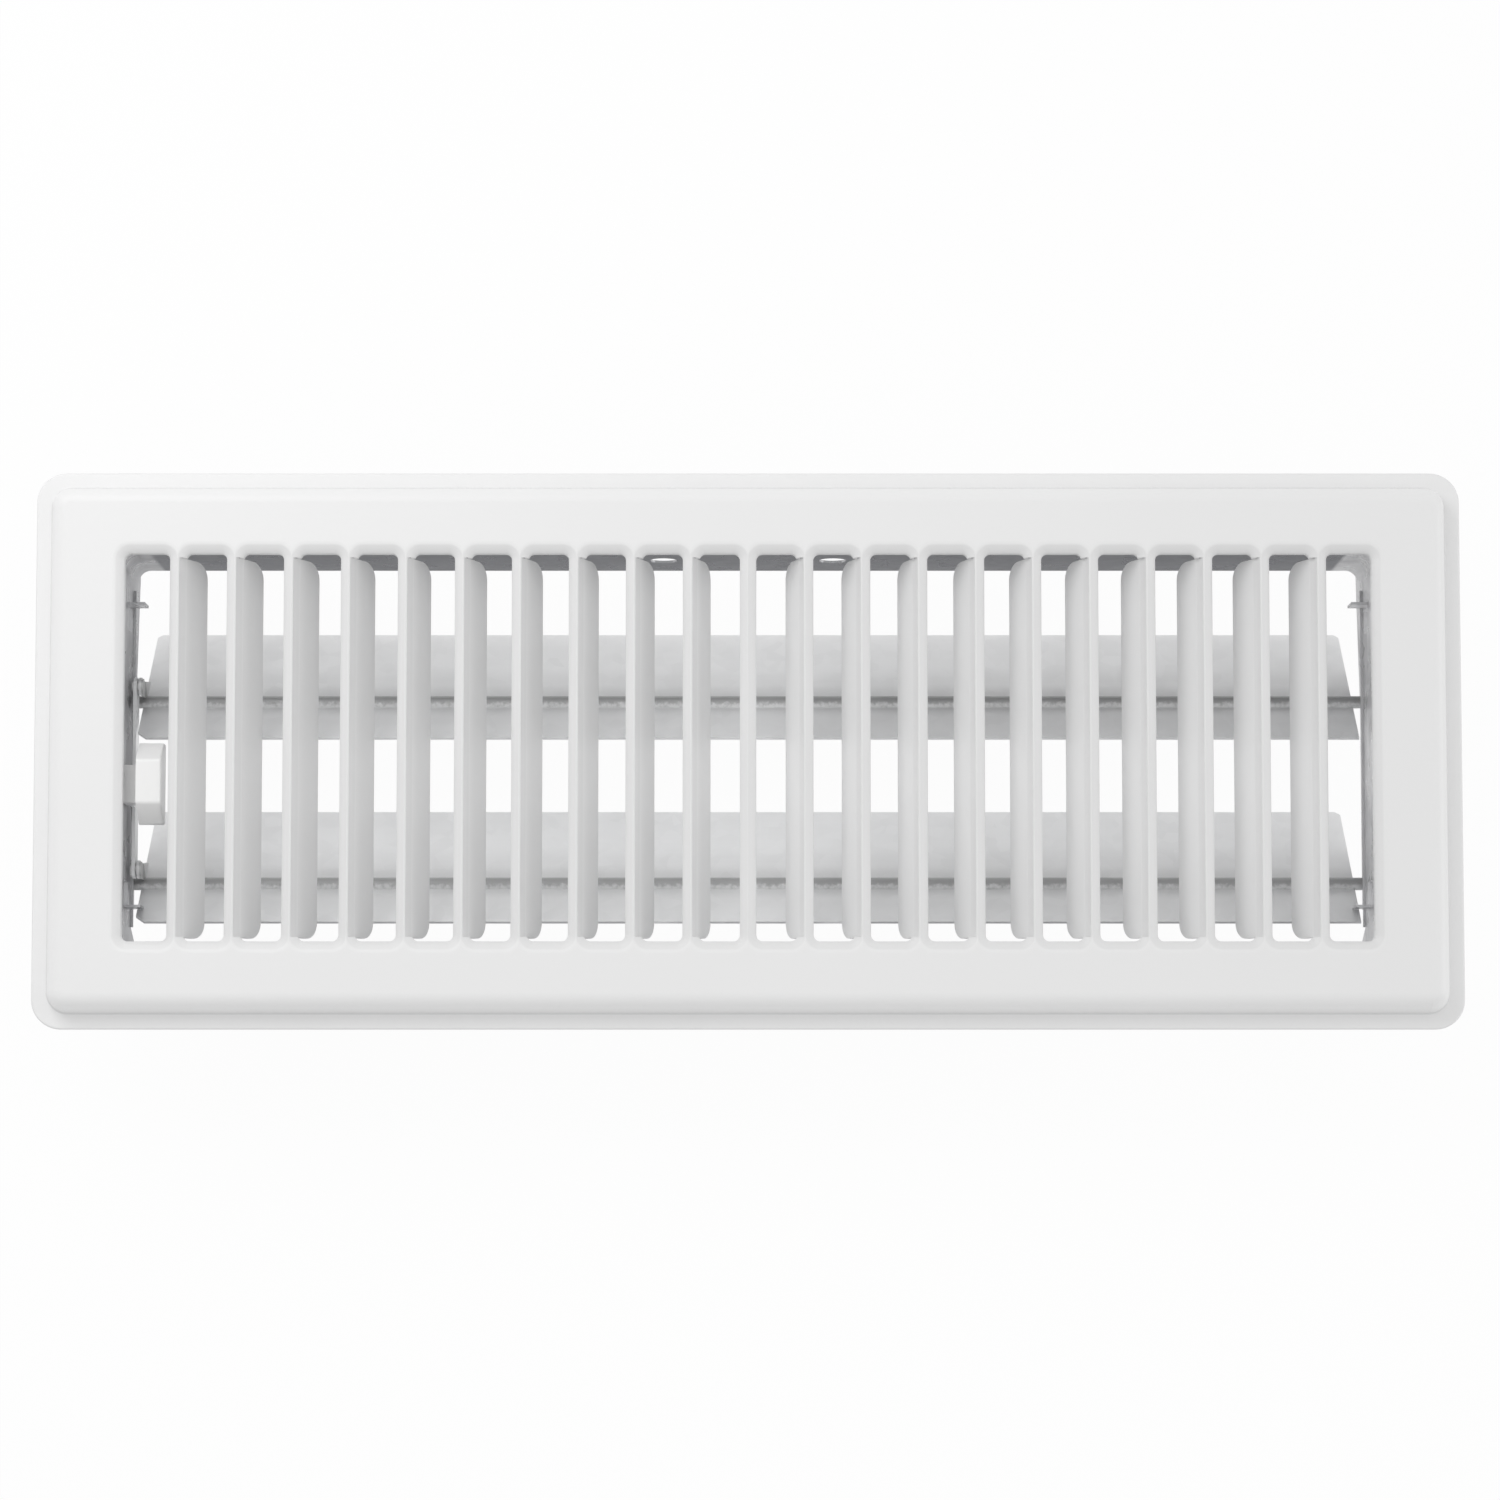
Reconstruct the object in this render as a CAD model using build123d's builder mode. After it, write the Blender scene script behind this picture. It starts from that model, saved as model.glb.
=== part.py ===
from build123d import *

import os
from math import acos, atan2, cos, degrees, hypot, pi, radians, sin, tan

# White stamped steel floor register with a galvanised two-blade damper.
# Millimetres. The origin is at the middle of the rim's underside, which is the floor's level.
# +X runs along the face, +Y across it, +Z up out of the floor.

# Face plate
face_length = 340.0
face_width = 133.2
rim_corner = 7.1
riser_corner = 5.0
face_height = 8.0
face_sheet = 0.8
rim_width = 3.8
riser_run = 4.4
riser_lean = 1.2
riser_foot_radius = 0.5
rim_edge_radius = 0.5

# Bars and slots
fins_each_side = 10
bar_width = 3.9
end_slot_width = 10.7
slot_side_margin = 12.3
slot_end_margin = 13.95
slot_corner = 1.5
lip_depth = 2.8
roll_width = 2.8
roll_reach = 4.2
roll_drop = 1.5

# Fins, which lean further out from the middle bar to the ends
fin_start = 1.6
fin_depth = 10.5
fin_lean_inner = 2.6
fin_lean_outer = 3.8
fin_corner = 4.0
fin_end_gap = 1.0

# Collar
collar_sheet = 0.6
collar_side_gap = 0.3
collar_end_gap = 0.65
collar_side_drop = 24.0
collar_end_drop = 17.0
collar_flange = 5.0
collar_corner = 3.0
relief_slant = 4.0
relief_corner = 2.2
hem = 0.6
side_hole_radius = 3.4
side_hole_spacing = 40.8
side_hole_drop = 9.5

# Tabs lanced out of the end walls, and the windows that they leave
tab_inset = 10.8
tab_reach = 3.9
tab_top = -6.0
tab_height = 6.0
far_tab_drop = 2.5
window_length = 6.0

# Blades
blade_sheet = 0.6
blade_short_side = 14.6
blade_seam = 0.25
blade_far_gap = 3.975
blade_near_gap = 1.975
blade_end_gap = 2.3
blade_corner_cut = 2.2
blade_tip_cut = 1.2
open_angle = 47.5
journal_radius = 1.9
journal_clearance = 0.06
journal_drop = 0.6
journal_overhang = 0.3

# End brackets
bracket_sheet = 0.8
bracket_drop = 6.0
bracket_lap = 2.4
bracket_past_near = 5.4
bracket_corner_gap = 0.6
bracket_slant = 5.0
tongue_width = 44.0
tongue_rise = 10.6

# Crank ears, rivets and link bar
crank_radius = 8.0
ear_foot = 8.0
ear_radius = 2.2
rivet_radius = 1.2
rivet_head_radius = 1.9
rivet_head = 0.4
rivet_clearance = 0.06
link_sheet = 0.8
link_ear_gap = 0.4
link_half_height = 2.2
link_tongue_width = 9.0
link_tongue_rise = 7.9

# Lever knob
knob_offset = -2.8
knob_length = 19.4
knob_crown = 10.2
knob_width = 6.0
knob_link_gap = 2.5
knob_top = 6.0
knob_shoulder = 0.4
knob_foot = -1.5
knob_round = 1.1
clip_wall = 0.7
clip_roof = 2.4
clip_foot = -6.4

# Levels and places that follow from the sizes
panel_under = face_height - face_sheet
lip_level = face_height - lip_depth
fin_level = face_height - fin_depth
boss_length = face_length - 2 * rim_width
boss_width = face_width - 2 * rim_width
panel_length = boss_length - 2 * riser_run
panel_width = boss_width - 2 * riser_run
riser_slope = atan2(panel_under, riser_lean)
shoulder_radius = (riser_run - riser_lean) / tan(riser_slope / 2)
bar_half = bar_width / 2
roll_start = acos(roll_width / roll_reach - 1)
roll_level = -roll_drop * sin(roll_start)
slots_half = panel_length / 2 - slot_end_margin
slot_half = panel_width / 2 - slot_side_margin
slot_length = 2 * slot_half
bar_pitch = (slots_half - end_slot_width - bar_half) / fins_each_side
wall_x = slots_half + face_sheet + collar_end_gap
wall_y = slot_half + face_sheet + collar_side_gap
bracket_x = wall_x + collar_sheet
pivot_level = -collar_end_drop - journal_drop - journal_radius
blade_pitch = wall_y - (blade_far_gap + blade_near_gap - blade_seam) / 2
blade_long_side = blade_pitch - blade_seam - blade_short_side
far_pivot = wall_y - blade_far_gap - blade_long_side
near_pivot = far_pivot - blade_pitch
blade_half = wall_x - blade_end_gap
ear_x = -blade_half
link_x = ear_x - link_ear_gap
half_turn = radians(open_angle / 2)
crank_rise = crank_radius * cos(half_turn)
crank_shift = crank_radius * sin(half_turn)
link_level = pivot_level + crank_rise
fin_half = slot_half - fin_end_gap
fin_numbers = [*range(-fins_each_side, 0), *range(1, fins_each_side + 1)]

os.makedirs("parts", exist_ok=True)


def fin_lean(number):
    step = (fin_lean_outer - fin_lean_inner) / (fins_each_side - 1)
    return fin_lean_inner + step * (abs(number) - 1)


def fin_line(number):
    inward = 1 if number < 0 else -1
    edge = number * bar_pitch + inward * bar_half
    bend_level = face_height + roll_level + roll_drop * sin(acos(fin_start / roll_reach - 1))
    bend = (edge - inward * fin_start, bend_level)
    run = (inward * (fin_start + fin_lean(number)), fin_level - bend_level)
    return inward, bend, run


def fin_relief(number):
    inward, bend, run = fin_line(number)
    outside = bend[0] + inward * (fin_start + face_sheet)
    low = lip_level - face_sheet
    share = (low - bend[1]) / run[1]
    Polygon(
        bend,
        (outside, face_height),
        (outside, low),
        (bend[0] + share * run[0], low),
        align=None,
    )


def fin_section(number):
    inward, bend, run = fin_line(number)
    share = inward * face_sheet / hypot(*run)
    back = (bend[0] + share * run[1], bend[1] - share * run[0])
    Polygon(
        bend,
        (bend[0] + run[0], bend[1] + run[1]),
        (back[0] + run[0], back[1] + run[1]),
        back,
        align=None,
    )


# Slots: cutters whose upper edge flares, so that each edge rolls softly down into its lip
def make_slot(width):
    with BuildPart() as slot:
        with BuildSketch(Plane.XY.offset(face_height)) as outline:
            RectangleRounded(width, slot_length, slot_corner)
        extrude(amount=-lip_depth)
        edge = outline.sketch.face().outer_wire()
        outward = (edge % 0).cross(Vector(0, 0, 1))
        with BuildSketch(Plane(origin=edge @ 0, x_dir=outward, z_dir=-(edge % 0))):
            with BuildLine():
                EllipticalCenterArc(
                    (roll_reach, roll_level),
                    roll_reach,
                    roll_drop,
                    start_angle=degrees(roll_start),
                    arc_size=degrees(pi - roll_start),
                )
                Polyline((0, roll_level), (0, 0), (roll_width, 0))
            make_face()
        sweep(path=edge)
    return slot


middle_slot = make_slot(bar_pitch - bar_width)
end_slot = make_slot(end_slot_width)


# Pan: the raised middle of the face, whose steep riser rounds over into the flat panel
def make_pan(inset, low, high, radius):
    with BuildPart() as pan:
        for level, inward in ((low, inset), (high, inset + riser_lean)):
            with BuildSketch(Plane.XY.offset(level)):
                RectangleRounded(boss_length - 2 * inward, boss_width - 2 * inward, riser_corner - inward)
        loft()
        fillet(pan.faces().sort_by(Axis.Z)[-1].edges(), radius)
    return pan


pan_outside = make_pan(0, face_sheet, face_height, shoulder_radius)
pan_inside = make_pan(face_sheet, 0, panel_under, shoulder_radius - face_sheet)

# Face plate: a dished pan, thickened at the slots so that each edge turns down into a lip
with BuildPart() as face_plate:
    with BuildSketch(Plane.XY):
        RectangleRounded(face_length, face_width, rim_corner)
    extrude(amount=face_sheet)
    fillet(face_plate.faces().sort_by(Axis.Z)[-1].edges(), rim_edge_radius)

    add(pan_outside.part)
    rim_top = face_plate.faces().filter_by(Axis.Z).sort_by(Axis.Z)[1]
    fillet(rim_top.inner_wires().edges(), riser_foot_radius)
    add(pan_inside.part, mode=Mode.SUBTRACT)

    with BuildSketch(Plane.XY.offset(lip_level)):
        slab_length = 2 * (slots_half + face_sheet)
        slab_width = 2 * (slot_half + face_sheet)
        RectangleRounded(slab_length, slab_width, slot_corner + face_sheet)
    extrude(amount=panel_under - lip_level)

    with GridLocations(bar_pitch, 1, 2 * fins_each_side, 1):
        add(middle_slot.part, mode=Mode.SUBTRACT)
    with GridLocations(2 * slots_half - end_slot_width, 1, 2, 1):
        add(end_slot.part, mode=Mode.SUBTRACT)

    with BuildSketch(Plane.XY.offset(lip_level)):
        with GridLocations(bar_pitch, 1, 2 * fins_each_side + 1, 1):
            Rectangle(bar_width - 2 * face_sheet, slot_length)
    extrude(amount=panel_under - lip_level, mode=Mode.SUBTRACT)

    with BuildSketch(Plane.XZ.offset(-fin_half)):
        for number in fin_numbers:
            fin_relief(number)
    extrude(amount=2 * fin_half, mode=Mode.SUBTRACT)
    with BuildSketch(Plane.XZ.offset(-fin_half)):
        for number in fin_numbers:
            fin_section(number)
    extrude(amount=2 * fin_half)
    with BuildSketch(Plane.YZ):
        for side in (1, -1):
            fin_end = side * fin_half
            with BuildLine():
                corner_top = (fin_end, fin_level + fin_corner)
                corner_low = (fin_end - side * fin_corner, fin_level)
                Polyline(
                    corner_low,
                    (fin_end - side * fin_corner, fin_level - face_sheet),
                    (side * wall_y, fin_level - face_sheet),
                    (side * wall_y, lip_level),
                    (fin_end, lip_level),
                    corner_top,
                )
                RadiusArc(corner_low, corner_top, -side * fin_corner)
            make_face()
    extrude(amount=slots_half, both=True, mode=Mode.SUBTRACT)
face_plate.part.label = "face_plate"

# Damper collar: a folded strip with a flange welded under the panel
with BuildPart() as damper_collar:
    with BuildSketch(Plane.XY.offset(-collar_side_drop)):
        RectangleRounded(
            2 * (wall_x + collar_sheet), 2 * (wall_y + collar_sheet), collar_corner + collar_sheet
        )
        RectangleRounded(2 * wall_x, 2 * wall_y, collar_corner, mode=Mode.SUBTRACT)
    extrude(amount=collar_side_drop + panel_under)
    with BuildSketch(Plane.XY.offset(panel_under)):
        RectangleRounded(
            2 * (wall_x + collar_flange), 2 * (wall_y + collar_flange), collar_corner + collar_flange
        )
        RectangleRounded(2 * wall_x, 2 * wall_y, collar_corner, mode=Mode.SUBTRACT)
    extrude(amount=-collar_sheet)

    relief_half = wall_y - relief_corner - relief_slant
    with BuildSketch(Plane.YZ):
        Polygon(
            (relief_half, -collar_end_drop),
            (-relief_half, -collar_end_drop),
            (-relief_half - relief_slant, -collar_side_drop),
            (relief_half + relief_slant, -collar_side_drop),
            align=None,
        )
    extrude(amount=face_length, both=True, mode=Mode.SUBTRACT)

    for side in (1, -1):
        with BuildSketch(Plane.XY.offset(-collar_end_drop)):
            with Locations((side * (wall_x - hem / 2), 0)):
                Rectangle(hem, 2 * relief_half)
        extrude(amount=hem)
        for end in (1, -1):
            tab_y = end * (wall_y - tab_inset)
            tab_level = tab_top - far_tab_drop if end > 0 else tab_top
            with BuildSketch(Plane.XY.offset(tab_level)):
                with Locations((side * (wall_x + collar_sheet / 2), tab_y - end * window_length / 2)):
                    Rectangle(2 * collar_sheet, window_length)
            extrude(amount=-tab_height, mode=Mode.SUBTRACT)
            with BuildSketch(Plane.XY.offset(tab_level)):
                with Locations((side * (wall_x - tab_reach / 2), tab_y + end * collar_sheet / 2)):
                    Rectangle(tab_reach, collar_sheet)
            extrude(amount=-tab_height)

    with BuildSketch(Plane.XZ):
        with Locations((0, -side_hole_drop)):
            with GridLocations(side_hole_spacing, 1, 2, 1):
                Circle(side_hole_radius)
    extrude(amount=face_width, both=True, mode=Mode.SUBTRACT)
damper_collar.part.label = "damper_collar"


# End brackets: plates with a wide lower band and a tongue, welded outside the end walls
def make_bracket(side):
    near_end = near_pivot - bracket_past_near
    far_end = wall_y - bracket_corner_gap
    band_top = -collar_end_drop + bracket_lap
    band_low = pivot_level - bracket_drop
    inner = Plane(origin=(side * bracket_x, 0, 0), x_dir=(0, 1, 0), z_dir=(1, 0, 0))
    with BuildPart() as bracket:
        with BuildSketch(inner):
            Polygon(
                (near_end, band_top),
                (near_end, band_low),
                (far_pivot, band_low),
                (far_end, band_low - bracket_slant),
                (far_end, band_top),
                align=None,
            )
            with Locations(((far_pivot + near_pivot) / 2, band_top + tongue_rise / 2)):
                Rectangle(tongue_width, tongue_rise)
            with Locations((far_pivot, pivot_level), (near_pivot, pivot_level)):
                Circle(journal_radius + journal_clearance, mode=Mode.SUBTRACT)
        extrude(amount=side * bracket_sheet)
    return bracket


end_bracket_left = make_bracket(-1)
end_bracket_left.part.label = "end_bracket_left"
end_bracket_right = make_bracket(1)
end_bracket_right.part.label = "end_bracket_right"


# Blades: a plate with a pressed bead, which runs out into a half-round journal at each end
def make_blade(pivot):
    tilt = radians(open_angle)
    along = (0, cos(tilt), -sin(tilt))
    section = Plane(origin=(0, pivot, pivot_level), x_dir=along, z_dir=(1, 0, 0))
    ear_plane = section.offset(ear_x)
    bead_inner = journal_radius - blade_sheet
    journal_end = bracket_x + bracket_sheet + journal_overhang
    pin = (-crank_shift, crank_rise)
    plate = Plane(origin=(0, pivot, pivot_level), x_dir=(1, 0, 0), z_dir=(0, sin(tilt), cos(tilt)))
    with BuildPart() as blade:
        with BuildSketch(section):
            with Locations((blade_long_side / 2, 0)):
                Rectangle(blade_long_side, blade_sheet)
            with Locations((-blade_short_side / 2, 0)):
                Rectangle(blade_short_side, blade_sheet)
            Circle(bead_inner, mode=Mode.SUBTRACT)
        extrude(amount=blade_half, both=True)
        with BuildSketch(plate.offset(-blade_sheet)):
            Polygon(
                (-blade_half, -blade_short_side),
                (-blade_half + blade_corner_cut, -blade_short_side),
                (-blade_half, -blade_short_side + blade_corner_cut),
                align=None,
            )
            for end in (-blade_half, blade_half):
                with Locations((end, blade_long_side)):
                    Rectangle(2 ** 0.5 * blade_tip_cut, 2 ** 0.5 * blade_tip_cut, rotation=45)
        extrude(amount=2 * blade_sheet, mode=Mode.SUBTRACT)
        with BuildSketch(section):
            Circle(journal_radius)
            Circle(bead_inner, mode=Mode.SUBTRACT)
            with Locations((0, -journal_radius)):
                Rectangle(2 * journal_radius, 2 * journal_radius, mode=Mode.SUBTRACT)
        extrude(amount=journal_end, both=True)
        with BuildSketch(ear_plane):
            Polygon(
                (bead_inner, 0),
                (bead_inner + ear_foot, 0),
                (pin[0] + ear_radius, pin[1]),
                (pin[0] - ear_radius, pin[1]),
                align=None,
            )
            with Locations(pin):
                Circle(ear_radius)
                Circle(rivet_radius, mode=Mode.SUBTRACT)
        extrude(amount=blade_sheet)
    return blade


damper_blade_far = make_blade(far_pivot)
damper_blade_far.part.label = "damper_blade_far"
damper_blade_near = make_blade(near_pivot)
damper_blade_near.part.label = "damper_blade_near"


# Rivets: headed pins through the crank ears, on which the link bar turns
def make_rivet(pivot):
    inner = ear_x + blade_sheet
    outer = link_x - link_sheet - rivet_clearance
    axis_plane = Plane(origin=(0, pivot + crank_shift, link_level), x_dir=(0, 1, 0), z_dir=(1, 0, 0))
    with BuildPart() as rivet:
        with BuildSketch(axis_plane.offset(outer)):
            Circle(rivet_radius)
        extrude(amount=inner - outer)
        with BuildSketch(axis_plane.offset(outer), axis_plane.offset(inner + rivet_head)):
            Circle(rivet_head_radius)
        extrude(amount=-rivet_head)
    return rivet


link_rivet_far = make_rivet(far_pivot)
link_rivet_far.part.label = "link_rivet_far"
link_rivet_near = make_rivet(near_pivot)
link_rivet_near.part.label = "link_rivet_near"

# Link bar: a strip from rivet to rivet, with a tongue that carries the knob
link_far = far_pivot + crank_shift
link_near = near_pivot + crank_shift
link_middle = (link_far + link_near) / 2
knob_y = link_middle + knob_offset
tongue_top = link_level + link_half_height + link_tongue_rise
with BuildPart() as link_bar:
    with BuildSketch(Plane(origin=(link_x, 0, 0), x_dir=(0, 1, 0), z_dir=(1, 0, 0))):
        with Locations((link_middle, link_level)):
            SlotCenterToCenter(blade_pitch, 2 * link_half_height)
        with Locations((knob_y, (link_level + tongue_top) / 2)):
            Rectangle(link_tongue_width, tongue_top - link_level)
        with Locations((link_far, link_level), (link_near, link_level)):
            Circle(rivet_radius + rivet_clearance, mode=Mode.SUBTRACT)
    extrude(amount=-link_sheet)
link_bar.part.label = "link_bar"

# Lever knob: a crowned grip with a clip that grasps the link bar's tongue
knob_right = link_x + knob_link_gap + knob_width
with BuildPart() as lever_knob:
    with BuildSketch(Plane(origin=(knob_right, 0, 0), x_dir=(0, 1, 0), z_dir=(1, 0, 0))):
        Polygon(
            (knob_y - knob_length / 2, knob_foot),
            (knob_y + knob_length / 2, knob_foot),
            (knob_y + knob_length / 2, knob_shoulder),
            (knob_y + knob_crown / 2, knob_top),
            (knob_y - knob_crown / 2, knob_top),
            (knob_y - knob_length / 2, knob_shoulder),
            align=None,
        )
    extrude(amount=-knob_width)
    fillet(lever_knob.edges().filter_by(Axis.X).group_by(Axis.Z)[1:], knob_round)
    grip_faces = lever_knob.faces().sort_by(Axis.X)
    fillet(grip_faces[-1].edges().sort_by(Axis.Z)[1:], knob_round / 2)

    clip_left = link_x - link_sheet - clip_wall
    clip_right = link_x + knob_link_gap
    with BuildSketch(Plane.XY.offset(clip_foot)):
        with Locations(((clip_left + clip_right) / 2, knob_y)):
            Rectangle(clip_right - clip_left, link_tongue_width)
    extrude(amount=tongue_top + clip_roof - clip_foot)
    with BuildSketch(Plane.XY.offset(clip_foot)):
        with Locations((link_x - link_sheet / 2, knob_y)):
            Rectangle(link_sheet, link_tongue_width)
    extrude(amount=tongue_top - clip_foot, mode=Mode.SUBTRACT)
lever_knob.part.label = "lever_knob"

for piece in (
    face_plate,
    damper_collar,
    end_bracket_left,
    end_bracket_right,
    damper_blade_far,
    damper_blade_near,
    link_rivet_far,
    link_rivet_near,
    link_bar,
    lever_knob,
):
    export_step(piece.part, f"parts/{piece.part.label}.step")
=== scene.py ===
import math

import bpy
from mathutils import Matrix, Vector


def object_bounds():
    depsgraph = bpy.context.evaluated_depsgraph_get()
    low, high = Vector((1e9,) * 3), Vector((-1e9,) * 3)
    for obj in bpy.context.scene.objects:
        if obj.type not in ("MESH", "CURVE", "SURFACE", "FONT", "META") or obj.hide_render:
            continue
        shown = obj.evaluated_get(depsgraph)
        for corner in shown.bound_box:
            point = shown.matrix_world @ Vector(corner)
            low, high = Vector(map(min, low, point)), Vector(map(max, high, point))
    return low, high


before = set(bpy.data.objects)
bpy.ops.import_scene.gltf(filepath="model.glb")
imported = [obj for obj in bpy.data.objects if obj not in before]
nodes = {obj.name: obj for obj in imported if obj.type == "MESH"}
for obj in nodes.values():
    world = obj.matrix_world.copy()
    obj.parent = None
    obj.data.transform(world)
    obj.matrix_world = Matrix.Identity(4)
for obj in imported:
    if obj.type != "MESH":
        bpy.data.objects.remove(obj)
cadLow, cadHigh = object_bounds()  # the CAD model's own box
scene = bpy.context.scene
scene.view_settings.view_transform = "Standard"
print("frame loaded:", len(nodes), "nodes")


# small helpers for shader trees
floatSocket, colourSocket, vectorSocket = "NodeSocketFloat", "NodeSocketColor", "NodeSocketVector"


def addNode(tree, kind, x, y, **values):
    node = tree.nodes.new(kind)
    node.location = (x, y)
    for name, value in values.items():
        setattr(node, name, value)
    return node


def setInputs(node, **values):
    for name, value in values.items():
        node.inputs[name.replace("_", " ")].default_value = value
    return node


def newGroup(name, inputs, outputs):
    group = bpy.data.node_groups.new(name, "ShaderNodeTree")
    for label, kind, value in inputs:
        socket = group.interface.new_socket(label, in_out="INPUT", socket_type=kind)
        if value is not None:
            socket.default_value = value
    for label, kind in outputs:
        group.interface.new_socket(label, in_out="OUTPUT", socket_type=kind)
    start = addNode(group, "NodeGroupInput", -900, 0)
    end = addNode(group, "NodeGroupOutput", 700, 0)
    return group, start, end


def placeGroup(tree, group, x, y, **values):
    node = addNode(tree, "ShaderNodeGroup", x, y, node_tree=group)
    return setInputs(node, **values)


# zincSpangle: the crystal flakes of hot-dip galvanising, with faint rolling lines along the sheet
spangleValues = dict(
    warpScale=60.0, warpReach=(0.004, 0.004, 0.004),  # bends the flake borders
    rollStretch=(6.0, 240.0, 240.0), rollScale=3.0, rollShare=0.5,
    flakeShare=0.7, middleTone=0.6, roughSpread=0.12, ridgeWidth=0.12)


def makeZincSpangle(values):
    group, start, end = newGroup(
        "zincSpangle",
        [("Vector", vectorSocket, None), ("Flake Scale", floatSocket, 130.0),
         ("Contrast", floatSocket, 0.1), ("Base", colourSocket, (0.7, 0.7, 0.7, 1)),
         ("Rough", floatSocket, 0.35)],
        [("Color", colourSocket), ("Roughness", floatSocket), ("Height", floatSocket)])
    link = group.links.new
    warp = addNode(group, "ShaderNodeTexNoise", -700, -250)
    setInputs(warp, Scale=values["warpScale"], Detail=2.0)
    mixWarp = addNode(group, "ShaderNodeVectorMath", -520, -100, operation="MULTIPLY_ADD")
    mixWarp.inputs[1].default_value = values["warpReach"]
    flakes = addNode(group, "ShaderNodeTexVoronoi", -330, 0, feature="F1")
    borders = addNode(group, "ShaderNodeTexVoronoi", -330, -300, feature="DISTANCE_TO_EDGE")
    tone = addNode(group, "ShaderNodeSeparateColor", -140, 120)
    stretch = addNode(group, "ShaderNodeMapping", -700, 250)
    stretch.inputs["Scale"].default_value = values["rollStretch"]
    rolled = addNode(group, "ShaderNodeTexNoise", -520, 300)
    setInputs(rolled, Scale=values["rollScale"], Detail=3.0)
    sumTone = addNode(group, "ShaderNodeMath", 40, 160, operation="MULTIPLY_ADD")
    sumTone.inputs[1].default_value = values["flakeShare"]
    centre = addNode(group, "ShaderNodeMath", 200, 160, operation="SUBTRACT")
    centre.inputs[1].default_value = values["middleTone"]
    gain = addNode(group, "ShaderNodeMath", 340, 160, operation="MULTIPLY_ADD")
    gain.inputs[2].default_value = 1.0
    tint = addNode(group, "ShaderNodeVectorMath", 500, 200, operation="SCALE")
    roughGain = addNode(group, "ShaderNodeMath", 340, -60, operation="MULTIPLY_ADD")
    roughGain.inputs[1].default_value = values["roughSpread"]
    rolledTone = addNode(group, "ShaderNodeMath", -140, 320, operation="MULTIPLY")
    rolledTone.inputs[1].default_value = values["rollShare"]
    ridge = addNode(group, "ShaderNodeMath", 40, -300, operation="MINIMUM")
    ridge.inputs[1].default_value = values["ridgeWidth"]
    link(start.outputs["Vector"], warp.inputs["Vector"])
    link(start.outputs["Vector"], stretch.inputs["Vector"])
    link(stretch.outputs["Vector"], rolled.inputs["Vector"])
    link(warp.outputs["Color"], mixWarp.inputs[0])
    link(start.outputs["Vector"], mixWarp.inputs[2])
    for cells in (flakes, borders):
        link(mixWarp.outputs["Vector"], cells.inputs["Vector"])
        link(start.outputs["Flake Scale"], cells.inputs["Scale"])
    link(flakes.outputs["Color"], tone.inputs["Color"])
    link(rolled.outputs["Fac"], rolledTone.inputs[0])
    link(tone.outputs["Red"], sumTone.inputs[0])
    link(rolledTone.outputs["Value"], sumTone.inputs[2])
    link(sumTone.outputs["Value"], centre.inputs[0])
    link(centre.outputs["Value"], gain.inputs[0])
    link(start.outputs["Contrast"], gain.inputs[1])
    link(start.outputs["Base"], tint.inputs[0])
    link(gain.outputs["Value"], tint.inputs["Scale"])
    link(tone.outputs["Green"], roughGain.inputs[0])
    link(start.outputs["Rough"], roughGain.inputs[2])
    link(borders.outputs["Distance"], ridge.inputs[0])
    link(tint.outputs["Vector"], end.inputs["Color"])
    link(roughGain.outputs["Value"], end.inputs["Roughness"])
    link(ridge.outputs["Value"], end.inputs["Height"])
    return group


# skinRipple: the slow ripple and fine grain of a sprayed or moulded skin
rippleValues = dict(cloudScale=14.0, middleTone=0.5, grainShare=0.12, roughSpread=0.08)


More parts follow.
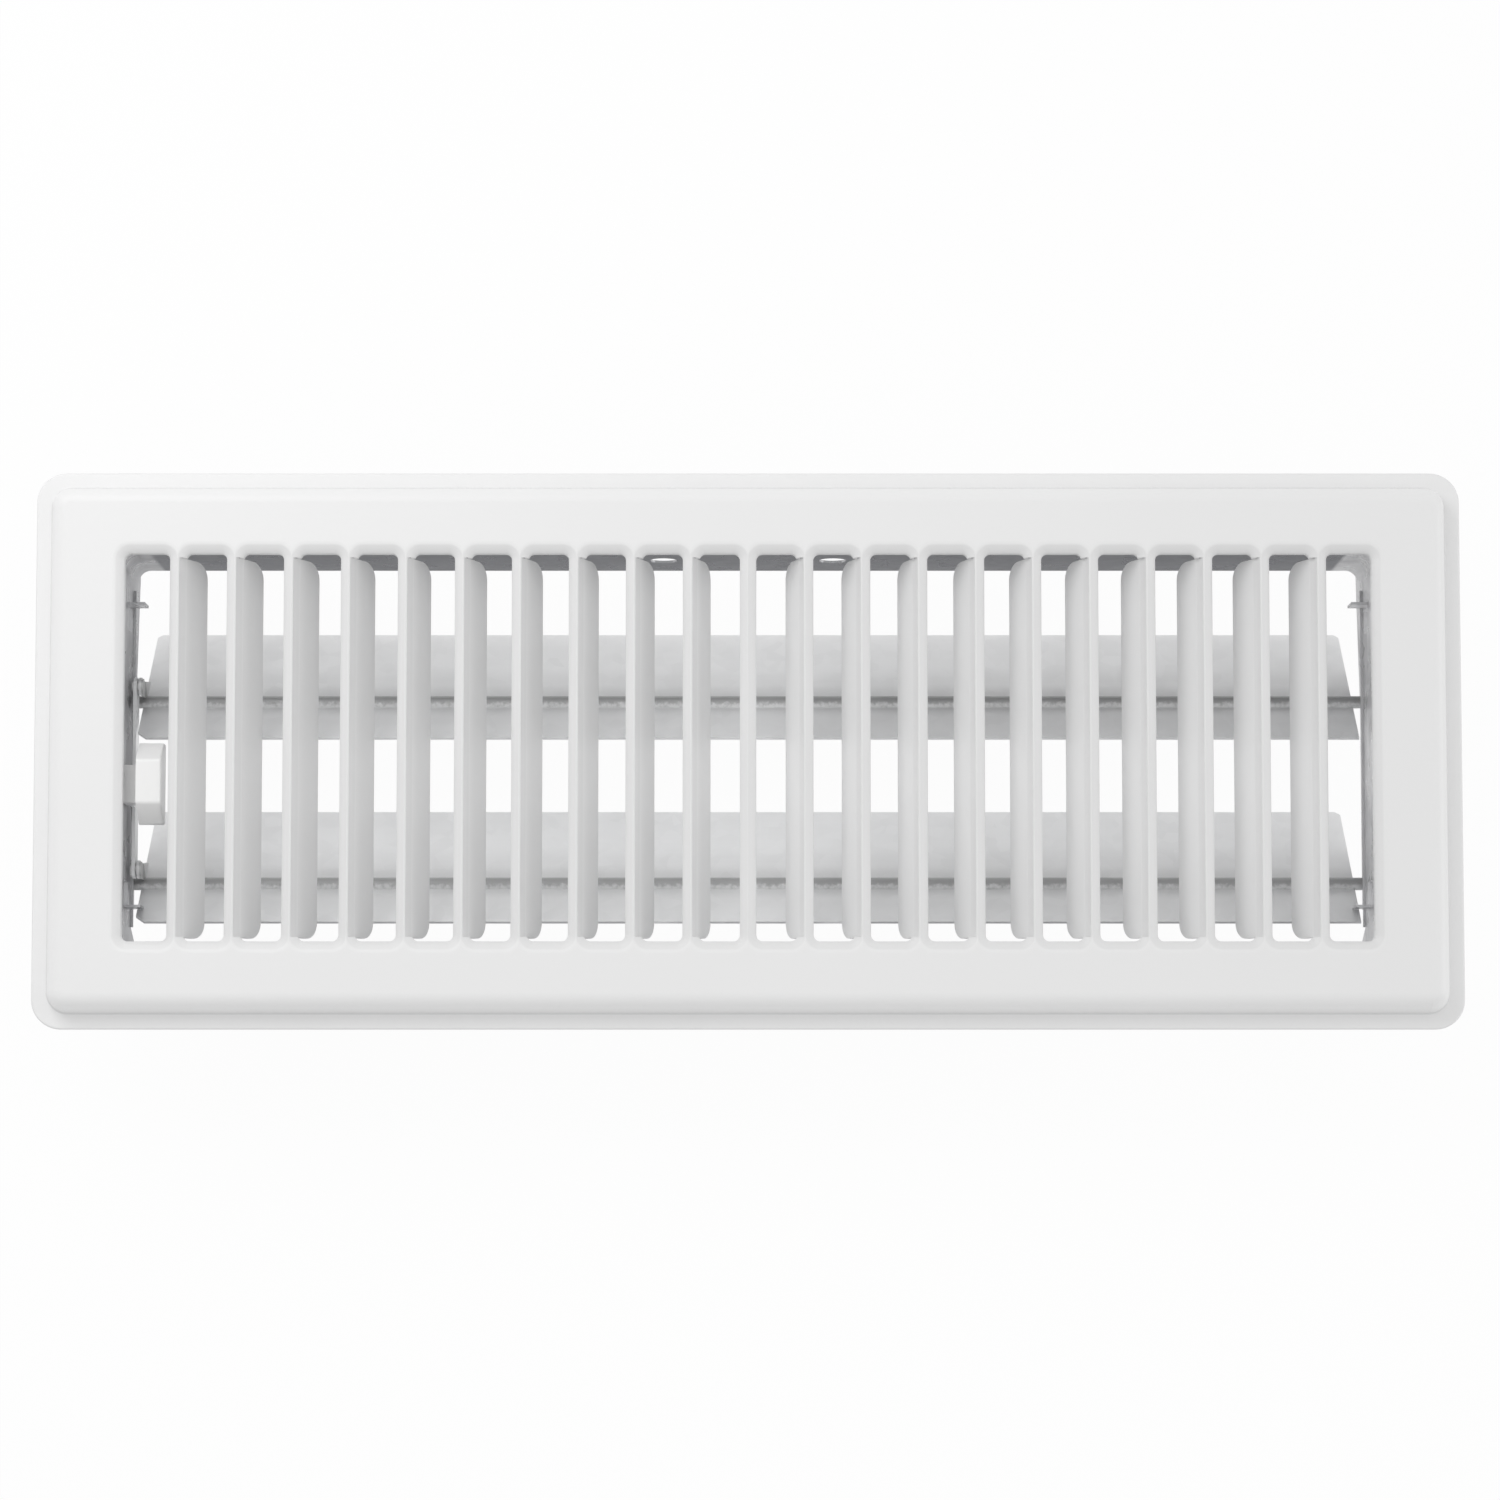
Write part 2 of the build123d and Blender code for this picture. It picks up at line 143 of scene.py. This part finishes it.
def makeSkinRipple(values):
    group, start, end = newGroup(
        "skinRipple",
        [("Vector", vectorSocket, None), ("Ripple Scale", floatSocket, 420.0),
         ("Grain Scale", floatSocket, 2200.0), ("Base", colourSocket, (0.8, 0.8, 0.8, 1)),
         ("Shade", floatSocket, 0.02), ("Rough", floatSocket, 0.3)],
        [("Color", colourSocket), ("Roughness", floatSocket), ("Height", floatSocket)])
    link = group.links.new
    ripple = addNode(group, "ShaderNodeTexNoise", -560, 120)
    setInputs(ripple, Detail=1.5, Roughness=0.45)
    grain = addNode(group, "ShaderNodeTexNoise", -560, -160)
    setInputs(grain, Detail=2.0)
    cloud = addNode(group, "ShaderNodeTexNoise", -560, 380)
    setInputs(cloud, Scale=values["cloudScale"], Detail=3.0)
    height = addNode(group, "ShaderNodeMath", -300, 20, operation="MULTIPLY_ADD")
    height.inputs[1].default_value = values["grainShare"]
    shadeCentre = addNode(group, "ShaderNodeMath", -300, 380, operation="SUBTRACT")
    shadeCentre.inputs[1].default_value = values["middleTone"]
    gain = addNode(group, "ShaderNodeMath", -120, 380, operation="MULTIPLY_ADD")
    gain.inputs[2].default_value = 1.0
    tint = addNode(group, "ShaderNodeVectorMath", 80, 380, operation="SCALE")
    rough = addNode(group, "ShaderNodeMath", 80, 120, operation="MULTIPLY_ADD")
    rough.inputs[1].default_value = values["roughSpread"]
    link(start.outputs["Vector"], ripple.inputs["Vector"])
    link(start.outputs["Vector"], grain.inputs["Vector"])
    link(start.outputs["Vector"], cloud.inputs["Vector"])
    link(start.outputs["Ripple Scale"], ripple.inputs["Scale"])
    link(start.outputs["Grain Scale"], grain.inputs["Scale"])
    link(grain.outputs["Fac"], height.inputs[0])
    link(ripple.outputs["Fac"], height.inputs[2])
    link(cloud.outputs["Fac"], shadeCentre.inputs[0])
    link(shadeCentre.outputs["Value"], gain.inputs[0])
    link(start.outputs["Shade"], gain.inputs[1])
    link(start.outputs["Base"], tint.inputs[0])
    link(gain.outputs["Value"], tint.inputs["Scale"])
    link(cloud.outputs["Fac"], rough.inputs[0])
    link(start.outputs["Rough"], rough.inputs[2])
    link(tint.outputs["Vector"], end.inputs["Color"])
    link(rough.outputs["Value"], end.inputs["Roughness"])
    link(height.outputs["Value"], end.inputs["Height"])
    return group


# one math node at a time, from sockets or plain numbers

def makeCalc(group):
    def calc(operation, first, second=0.0, third=0.0):
        node = addNode(group, "ShaderNodeMath", -300, 0, operation=operation)
        for socket, value in zip(node.inputs, (first, second, third)):
            if isinstance(value, (int, float)):
                socket.default_value = value
            else:
                group.links.new(value, socket)
        return node.outputs["Value"]
    return calc


# pressedFormAndShade: sharpens the crease of the roll round each slot with a bump, and paints shade into
# the colour:
# darker on the rolls, a thin dark line along the rim's outer edge, and darker at the foot of the riser
pressedFormShadeValues = dict(
    rollHeights=dict(From_Min=0.005, From_Max=0.0072),  # the roll fades in up to the panel
    rimHeights=dict(From_Min=0.00078, From_Max=0.0003),
    footHeights=dict(From_Min=0.0022, From_Max=0.0009),
    rimTop=0.00082, rollShadeOnset=5.0)


def makePressedFormAndShade(values):
    group, start, end = newGroup(
        "pressedFormAndShade",
        [("Vector", vectorSocket, None), ("Base", colourSocket, (0.8, 0.8, 0.8, 1)),
         ("Pitch", floatSocket, 0.01352), ("Half Width", floatSocket, 0.00481),
         ("Half Length", floatSocket, 0.0461), ("Ends From", floatSocket, 0.1352),
         ("End Middle", floatSocket, 0.1425), ("End Half Width", floatSocket, 0.00535),
         ("Corner", floatSocket, 0.0015), ("Ring", floatSocket, 0.0022),
         ("Slope", floatSocket, 0.18), ("Roll Shade", floatSocket, 0.06),
         ("Outer X", floatSocket, 0.155), ("Outer Y", floatSocket, 0.055),
         ("Rim Edge", floatSocket, 0.22), ("Foot Shade", floatSocket, 0.1)],
        [("Color", colourSocket), ("Height", floatSocket)])
    link = group.links.new
    calc = makeCalc(group)
    take = start.outputs
    parts = addNode(group, "ShaderNodeSeparateXYZ", -700, 0)
    link(take["Vector"], parts.inputs["Vector"])
    awayX = calc("ABSOLUTE", parts.outputs["X"])
    awayY = calc("ABSOLUTE", parts.outputs["Y"])
    step = calc("FLOORED_MODULO", parts.outputs["X"], take["Pitch"])
    inner = calc("ABSOLUTE", calc("SUBTRACT", step, calc("MULTIPLY", take["Pitch"], 0.5)))
    innerPast = calc("SUBTRACT", inner, take["Half Width"])
    outer = calc("ABSOLUTE", calc("SUBTRACT", awayX, take["End Middle"]))
    outerPast = calc("SUBTRACT", outer, take["End Half Width"])
    atEnd = calc("GREATER_THAN", awayX, take["Ends From"])
    slotX = calc("MULTIPLY_ADD", atEnd, calc("SUBTRACT", outerPast, innerPast), innerPast)
    slotY = calc("SUBTRACT", awayY, take["Half Length"])
    outX = calc("MAXIMUM", calc("ADD", slotX, take["Corner"]), 0.0)
    outY = calc("MAXIMUM", calc("ADD", slotY, take["Corner"]), 0.0)
    reach = calc("SQRT", calc("MULTIPLY_ADD", outX, outX, calc("MULTIPLY", outY, outY)))
    slotGap = calc("SUBTRACT", reach, take["Corner"])
    depth = calc("SUBTRACT", take["Ring"], calc("MAXIMUM", slotGap, 0.0))
    onTop = addNode(group, "ShaderNodeMapRange", -300, 200)
    setInputs(onTop, **values["rollHeights"])
    link(parts.outputs["Z"], onTop.inputs["Value"])
    ring = calc("MULTIPLY", calc("MAXIMUM", depth, 0.0), onTop.outputs["Result"])
    link(calc("MULTIPLY", calc("MULTIPLY", ring, take["Slope"]), -1.0), end.inputs["Height"])
    # painted shade: the rolls round each slot are darkened
    rollShadeRamp = calc("MULTIPLY", calc("DIVIDE", ring, take["Ring"]), values["rollShadeOnset"])
    onRoll = calc("MINIMUM", rollShadeRamp, 1.0)

    # painted shade: a dark line along the rim's outer edge and a darker band at the foot of the riser
    pastX = calc("SUBTRACT", awayX, take["Outer X"])
    pastY = calc("SUBTRACT", awayY, take["Outer Y"])
    onRim = calc("GREATER_THAN", calc("MAXIMUM", pastX, pastY), 0.0)
    rimEdge = addNode(group, "ShaderNodeMapRange", -300, 400)
    setInputs(rimEdge, **values["rimHeights"])
    foot = addNode(group, "ShaderNodeMapRange", -300, 600)
    setInputs(foot, **values["footHeights"])
    for level in (rimEdge, foot):
        link(parts.outputs["Z"], level.inputs["Value"])
    overRim = calc("GREATER_THAN", parts.outputs["Z"], values["rimTop"])
    footShade = calc("MULTIPLY", calc("MULTIPLY", foot.outputs["Result"], overRim), take["Foot Shade"])
    rimEdgeAndFootShade = calc("MULTIPLY_ADD", rimEdge.outputs["Result"], take["Rim Edge"], footShade)
    outerShade = calc("MULTIPLY", rimEdgeAndFootShade, onRim)
    edge = calc("MULTIPLY_ADD", onRoll, take["Roll Shade"], outerShade)
    shade = addNode(group, "ShaderNodeVectorMath", 300, 200, operation="SCALE")
    link(take["Base"], shade.inputs[0])
    link(calc("SUBTRACT", 1.0, edge), shade.inputs["Scale"])
    link(shade.outputs["Vector"], end.inputs["Color"])
    return group


# paintedEndWallLight: painted light that lightens the end walls and their tabs in streaks and makes them
# less metallic, less at the left end than at the right
endWallLightValues = dict(
    streakStretch=(40.0, 60.0, 220.0), streakScale=2.0, streakSpread=1.6, streakLeast=0.2,
    fade=0.001)  # the painted light comes in over a millimetre


def makePaintedEndWallLight(values):
    group, start, end = newGroup(
        "paintedEndWallLight",
        [("Vector", vectorSocket, None), ("Base", colourSocket, (0.5, 0.5, 0.5, 1)),
         ("Lit Tone", colourSocket, (0.75, 0.75, 0.76, 1)), ("From", floatSocket, 0.1425),
         ("Amount", floatSocket, 0.9), ("Left Share", floatSocket, 0.65)],
        [("Color", colourSocket), ("Metallic", floatSocket)])
    link = group.links.new
    calc = makeCalc(group)
    take = start.outputs
    parts = addNode(group, "ShaderNodeSeparateXYZ", -700, 0)
    link(take["Vector"], parts.inputs["Vector"])
    stretch = addNode(group, "ShaderNodeMapping", -700, -250)
    stretch.inputs["Scale"].default_value = values["streakStretch"]
    streak = addNode(group, "ShaderNodeTexNoise", -500, -250)
    setInputs(streak, Scale=values["streakScale"], Detail=3.0, Roughness=0.6)
    link(take["Vector"], stretch.inputs["Vector"])
    link(stretch.outputs["Vector"], streak.inputs["Vector"])
    away = calc("ABSOLUTE", parts.outputs["X"])
    atEnd = calc("MULTIPLY", calc("SUBTRACT", away, take["From"]), 1.0 / values["fade"])
    atRight = calc("GREATER_THAN", parts.outputs["X"], 0.0)
    side = calc("MULTIPLY_ADD", atRight, calc("SUBTRACT", 1.0, take["Left Share"]), take["Left Share"])
    spread = calc("MULTIPLY_ADD", streak.outputs["Fac"], values["streakSpread"], values["streakLeast"])
    amount = calc("MULTIPLY", calc("MULTIPLY", spread, side), take["Amount"])
    clear = calc("MINIMUM", calc("MAXIMUM", atEnd, 0.0), 1.0)
    share = calc("MINIMUM", calc("MULTIPLY", amount, clear), 1.0)
    mix = addNode(group, "ShaderNodeMix", 300, 200, data_type="RGBA")
    link(share, mix.inputs["Factor"])
    link(take["Base"], mix.inputs[6])
    link(take["Lit Tone"], mix.inputs[7])
    link(mix.outputs[2], end.inputs["Color"])
    link(calc("SUBTRACT", 1.0, share), end.inputs["Metallic"])
    return group


# paintedBeadShade: painted shade along a blade's bead, darkest in its root and fading out over both
# plates
beadShadeValues = dict(
    speckScale=900.0, ragged=0.0012,  # the painted shade's ragged border
    plate=dict(From_Min=-0.0144, From_Max=0.0306),
    stops=[(0.0, 1.0), (0.2, 0.94), (0.29, 0.85), (0.31, 0.42),
           (0.36, 0.42), (0.4, 0.78), (0.52, 0.92), (0.7, 1.0)])


def makePaintedBeadShade(values):
    group, start, end = newGroup(
        "paintedBeadShade",
        [("Vector", vectorSocket, None), ("Pivot", vectorSocket, None),
         ("Along", vectorSocket, None), ("Base", colourSocket, (0.7, 0.7, 0.7, 1))],
        [("Color", colourSocket)])
    link = group.links.new
    reach = addNode(group, "ShaderNodeVectorMath", -700, 100, operation="SUBTRACT")
    along = addNode(group, "ShaderNodeVectorMath", -520, 100, operation="DOT_PRODUCT")
    speck = addNode(group, "ShaderNodeTexNoise", -700, -200)
    setInputs(speck, Scale=values["speckScale"], Detail=2.0)
    jitter = addNode(group, "ShaderNodeMath", -520, -200, operation="MULTIPLY_ADD")
    jitter.inputs[1].default_value = values["ragged"]
    place = addNode(group, "ShaderNodeMapRange", -300, 100)
    setInputs(place, **values["plate"])
    ramp = addNode(group, "ShaderNodeValToRGB", -100, 100)
    ramp.color_ramp.interpolation = "EASE"
    for index, (spot, level) in enumerate(values["stops"]):
        element = ramp.color_ramp.elements[0] if index == 0 else ramp.color_ramp.elements.new(spot)
        element.position = spot
        element.color = (level, level, level, 1)
    ramp.color_ramp.elements.remove(ramp.color_ramp.elements[-1])
    shade = addNode(group, "ShaderNodeVectorMath", 250, 100, operation="MULTIPLY")
    link(start.outputs["Vector"], reach.inputs[0])
    link(start.outputs["Pivot"], reach.inputs[1])
    link(reach.outputs["Vector"], along.inputs[0])
    link(start.outputs["Along"], along.inputs[1])
    link(start.outputs["Vector"], speck.inputs["Vector"])
    link(speck.outputs["Fac"], jitter.inputs[0])
    link(along.outputs["Value"], jitter.inputs[2])
    link(jitter.outputs["Value"], place.inputs["Value"])
    link(place.outputs["Result"], ramp.inputs["Fac"])
    link(start.outputs["Base"], shade.inputs[0])
    link(ramp.outputs["Color"], shade.inputs[1])
    link(shade.outputs["Vector"], end.inputs["Color"])
    return group


zincSpangle = makeZincSpangle(spangleValues)
skinRipple = makeSkinRipple(rippleValues)
pressedFormAndShade = makePressedFormAndShade(pressedFormShadeValues)
paintedEndWallLight = makePaintedEndWallLight(endWallLightValues)
paintedBeadShade = makePaintedBeadShade(beadShadeValues)


def makeFinish(name, group, look, groupValues, layer=None, layerValues=None):
    finish = bpy.data.materials.new(name)
    finish.use_nodes = True
    tree = finish.node_tree
    tree.nodes.clear()
    place = addNode(tree, "ShaderNodeTexCoord", -800, 0)
    effect = placeGroup(tree, group, -500, 0, **groupValues)
    bump = addNode(tree, "ShaderNodeBump", -200, -200)
    setInputs(bump, Strength=look["bump"], Distance=look["bumpDepth"])
    shader = addNode(tree, "ShaderNodeBsdfPrincipled", 50, 0)
    setInputs(shader, Metallic=look["metallic"], IOR=look["ior"], Specular_IOR_Level=look["specular"],
              Specular_Tint=look.get("grazingShadeTint", (1, 1, 1, 1)))
    if "coat" in look:
        setInputs(shader, Coat_Weight=look["coat"], Coat_Roughness=look["coatRough"])
    out = addNode(tree, "ShaderNodeOutputMaterial", 350, 0)
    tree.links.new(place.outputs["Object"], effect.inputs["Vector"])
    colour = effect.outputs["Color"]
    if layer:
        over = placeGroup(tree, layer, -300, 250, **(layerValues or {}))
        tree.links.new(place.outputs["Object"], over.inputs["Vector"])
        tree.links.new(colour, over.inputs["Base"])
        colour = over.outputs["Color"]
        if "Metallic" in over.outputs:
            tree.links.new(over.outputs["Metallic"], shader.inputs["Metallic"])
        if "Height" in over.outputs:
            form = addNode(tree, "ShaderNodeBump", -350, -400)
            setInputs(form, Strength=1.0, Distance=1.0)
            tree.links.new(over.outputs["Height"], form.inputs["Height"])
            tree.links.new(form.outputs["Normal"], bump.inputs["Normal"])
    tree.links.new(colour, shader.inputs["Base Color"])
    tree.links.new(effect.outputs["Roughness"], shader.inputs["Roughness"])
    tree.links.new(effect.outputs["Height"], bump.inputs["Height"])
    tree.links.new(bump.outputs["Normal"], shader.inputs["Normal"])
    tree.links.new(shader.outputs["BSDF"], out.inputs["Surface"])
    return finish


def dress(nodeName, finish):
    mesh = nodes[nodeName].data
    mesh.materials.clear()
    mesh.materials.append(finish)


# white enamel on the stamped face plate, with painted shade on the slot rolls, the rim's outer edge and
# the riser's foot
enamel = dict(metallic=0.0, ior=1.5, coat=0.08, coatRough=0.25, specular=0.4,
              bump=0.12, bumpDepth=0.0004)
enamelSkin = dict(Ripple_Scale=420.0, Grain_Scale=2600.0, Base=(0.88, 0.88, 0.88, 1),
                  Shade=0.03, Rough=0.38)
whiteEnamel = makeFinish("whiteEnamel", skinRipple, enamel, enamelSkin, pressedFormAndShade)
dress("face_plate", whiteEnamel)

# galvanised sheet of the collar and its brackets, duller than the blades, with painted light on the end
# walls and their tabs
# the dark tint on grazing reflections is painted shade, which darkens the walls seen edgewise, such as
# the far wall
sheetLook = dict(metallic=1.0, ior=1.5, specular=0.5, bump=0.1, bumpDepth=0.0003,
                 grazingShadeTint=(0.25, 0.25, 0.26, 1))
sheetZinc = dict(Flake_Scale=320.0, Contrast=0.1, Base=(0.55, 0.555, 0.565, 1), Rough=0.26)
collarZinc = makeFinish("collarZinc", zincSpangle, sheetLook, sheetZinc, paintedEndWallLight)
for name in ("damper_collar", "end_bracket_left", "end_bracket_right"):
    dress(name, collarZinc)

# brighter skin-passed zinc of the blades and the link bar
bladeLook = dict(metallic=0.35, ior=1.5, specular=0.5, bump=0.06, bumpDepth=0.0003)
bladeZincSkin = dict(Flake_Scale=260.0, Contrast=0.05, Base=(0.92, 0.923, 0.927, 1), Rough=0.4)
bladePivots = dict(
    damper_blade_far=(0.0, 0.013725, -0.0195),
    damper_blade_near=(0.0, -0.030625, -0.0195))
bladeTilt = math.radians(47.5)
# each blade gets painted shade along its bead
for name, pivot in bladePivots.items():
    spot = nodes[name].matrix_world.inverted() @ Vector(pivot)
    beadShadeAxis = dict(Pivot=spot, Along=(0.0, math.cos(bladeTilt), -math.sin(bladeTilt)))
    dress(name, makeFinish(name + "_zinc", zincSpangle, bladeLook, bladeZincSkin, paintedBeadShade, beadShadeAxis))
dress("link_bar", makeFinish("linkZinc", zincSpangle, bladeLook, bladeZincSkin))

# plated rivets
rivetLook = dict(metallic=1.0, ior=1.5, specular=0.5, bump=0.08, bumpDepth=0.0001)
rivetSkin = dict(Flake_Scale=900.0, Contrast=0.1, Base=(0.6, 0.6, 0.6, 1), Rough=0.32)
rivetZinc = makeFinish("rivetZinc", zincSpangle, rivetLook, rivetSkin)
for name in ("link_rivet_far", "link_rivet_near"):
    dress(name, rivetZinc)

# moulded white plastic of the knob
knobLook = dict(metallic=0.0, ior=1.47, specular=0.5, bump=0.08, bumpDepth=0.0002)
knobSkin = dict(Ripple_Scale=900.0, Grain_Scale=5200.0, Base=(0.9, 0.9, 0.895, 1),
                Shade=0.02, Rough=0.33)
knobPlastic = makeFinish("knobPlastic", skinRipple, knobLook, knobSkin)
dress("lever_knob", knobPlastic)
print("finishes placed on", len(nodes), "nodes")

# white is shown in full to the camera and in reflections only

def addSeen(tree, x, y):
    path = addNode(tree, "ShaderNodeLightPath", x, y)
    seen = addNode(tree, "ShaderNodeMath", x + 200, y, operation="MAXIMUM")
    tree.links.new(path.outputs["Is Camera Ray"], seen.inputs[0])
    tree.links.new(path.outputs["Is Glossy Ray"], seen.inputs[1])
    return seen.outputs["Value"]


# pale studio floor, which keeps a faint shadow
floorValues = dict(half=3.0, gap=0.0005, tone=(0.9, 0.9, 0.9, 1), shadowShare=0.05, glow=0.7)


def makeFloor(values):
    level = cadLow.z - values["gap"]
    half = values["half"]
    mesh = bpy.data.meshes.new("studioFloor")
    corners = [(-half, -half, level), (half, -half, level),
               (half, half, level), (-half, half, level)]
    mesh.from_pydata(corners, [], [(0, 1, 2, 3)])
    floor = bpy.data.objects.new("studioFloor", mesh)
    scene.collection.objects.link(floor)
    paint = bpy.data.materials.new("floorPaint")
    paint.use_nodes = True
    tree = paint.node_tree
    tree.nodes.clear()
    share = addNode(tree, "ShaderNodeMath", -120, 260, operation="MULTIPLY_ADD")
    share.inputs[1].default_value = 1.0 - values["shadowShare"] - values["glow"]
    share.inputs[2].default_value = values["glow"]  # a lit table, so the underside isn't black
    matt = addNode(tree, "ShaderNodeBsdfDiffuse", -120, 60)
    matt.inputs["Color"].default_value = values["tone"]
    white = addNode(tree, "ShaderNodeEmission", -120, -80)
    setInputs(white, Color=(1, 1, 1, 1), Strength=1.0)
    mix = addNode(tree, "ShaderNodeMixShader", 100, 100)
    out = addNode(tree, "ShaderNodeOutputMaterial", 300, 100)
    tree.links.new(addSeen(tree, -800, 260), share.inputs[0])
    tree.links.new(share.outputs["Value"], mix.inputs["Fac"])
    tree.links.new(matt.outputs["BSDF"], mix.inputs[1])
    tree.links.new(white.outputs["Emission"], mix.inputs[2])
    tree.links.new(mix.outputs["Shader"], out.inputs["Surface"])
    mesh.materials.append(paint)


makeFloor(floorValues)

# soft tent light from the world, stronger overhead
worldValues = dict(tone=(1.0, 1.0, 1.0, 1), level=0.37, overhead=0.5)


def makeWorld(values):
    world = bpy.data.worlds.new("tentWorld")
    world.use_nodes = True
    scene.world = world
    tree = world.node_tree
    tree.nodes.clear()
    plain = addNode(tree, "ShaderNodeBackground", -200, 100)
    setInputs(plain, Color=values["tone"])
    sky = addNode(tree, "ShaderNodeTexCoord", -1000, 0)
    parts = addNode(tree, "ShaderNodeSeparateXYZ", -800, 0)
    light = addNode(tree, "ShaderNodeMath", -600, 0, operation="MULTIPLY_ADD")
    light.inputs[1].default_value = values["overhead"]
    light.inputs[2].default_value = values["level"]
    tree.links.new(sky.outputs["Generated"], parts.inputs["Vector"])
    tree.links.new(parts.outputs["Z"], light.inputs[0])
    tree.links.new(light.outputs["Value"], plain.inputs["Strength"])
    white = addNode(tree, "ShaderNodeBackground", -200, -60)
    setInputs(white, Color=(1, 1, 1, 1), Strength=1.0)
    mix = addNode(tree, "ShaderNodeMixShader", 60, 60)
    out = addNode(tree, "ShaderNodeOutputWorld", 260, 60)
    tree.links.new(addSeen(tree, -800, 200), mix.inputs["Fac"])
    tree.links.new(plain.outputs["Background"], mix.inputs[1])
    tree.links.new(white.outputs["Background"], mix.inputs[2])
    tree.links.new(mix.outputs["Shader"], out.inputs["Surface"])


makeWorld(worldValues)

# two soft boxes: a key at the far left and a lower fill at the right
lampValues = dict(
    keyBox=dict(place=(-0.32, 0.34, 0.44), size=0.4, power=1.15),
    fillBox=dict(place=(1.6, 0.0, 0.35), size=0.8, power=4.0))


def makeSoftBox(name, values):
    lamp = bpy.data.lights.new(name, "AREA")
    lamp.shape = "SQUARE"
    lamp.size = values["size"]
    lamp.energy = values["power"]
    box = bpy.data.objects.new(name, lamp)
    box.location = values["place"]
    box.rotation_euler = (-Vector(values["place"])).to_track_quat("-Z", "Y").to_euler()
    box.visible_camera = False
    scene.collection.objects.link(box)


for boxName, boxValues in lampValues.items():
    makeSoftBox(boxName, boxValues)

# camera almost straight above, a little towards the near side
cameraValues = dict(
    place=(0.000456, -0.112118, 0.922979), tilt=0.0697, shiftUp=0.13333,
    lens=93.5474, sensor=36.0, nearest=0.01, farthest=20.0)


def makeCamera(values):
    data = bpy.data.cameras.new("photoCamera")
    data.sensor_fit = "HORIZONTAL"
    data.sensor_width = values["sensor"]
    data.lens = values["lens"]
    data.shift_y = values["shiftUp"]
    data.clip_start = values["nearest"]
    data.clip_end = values["farthest"]
    camera = bpy.data.objects.new("photoCamera", data)
    camera.location = values["place"]
    camera.rotation_euler = (values["tilt"], 0.0, 0.0)
    scene.collection.objects.link(camera)
    scene.camera = camera


makeCamera(cameraValues)
print("floor, light and camera ready")
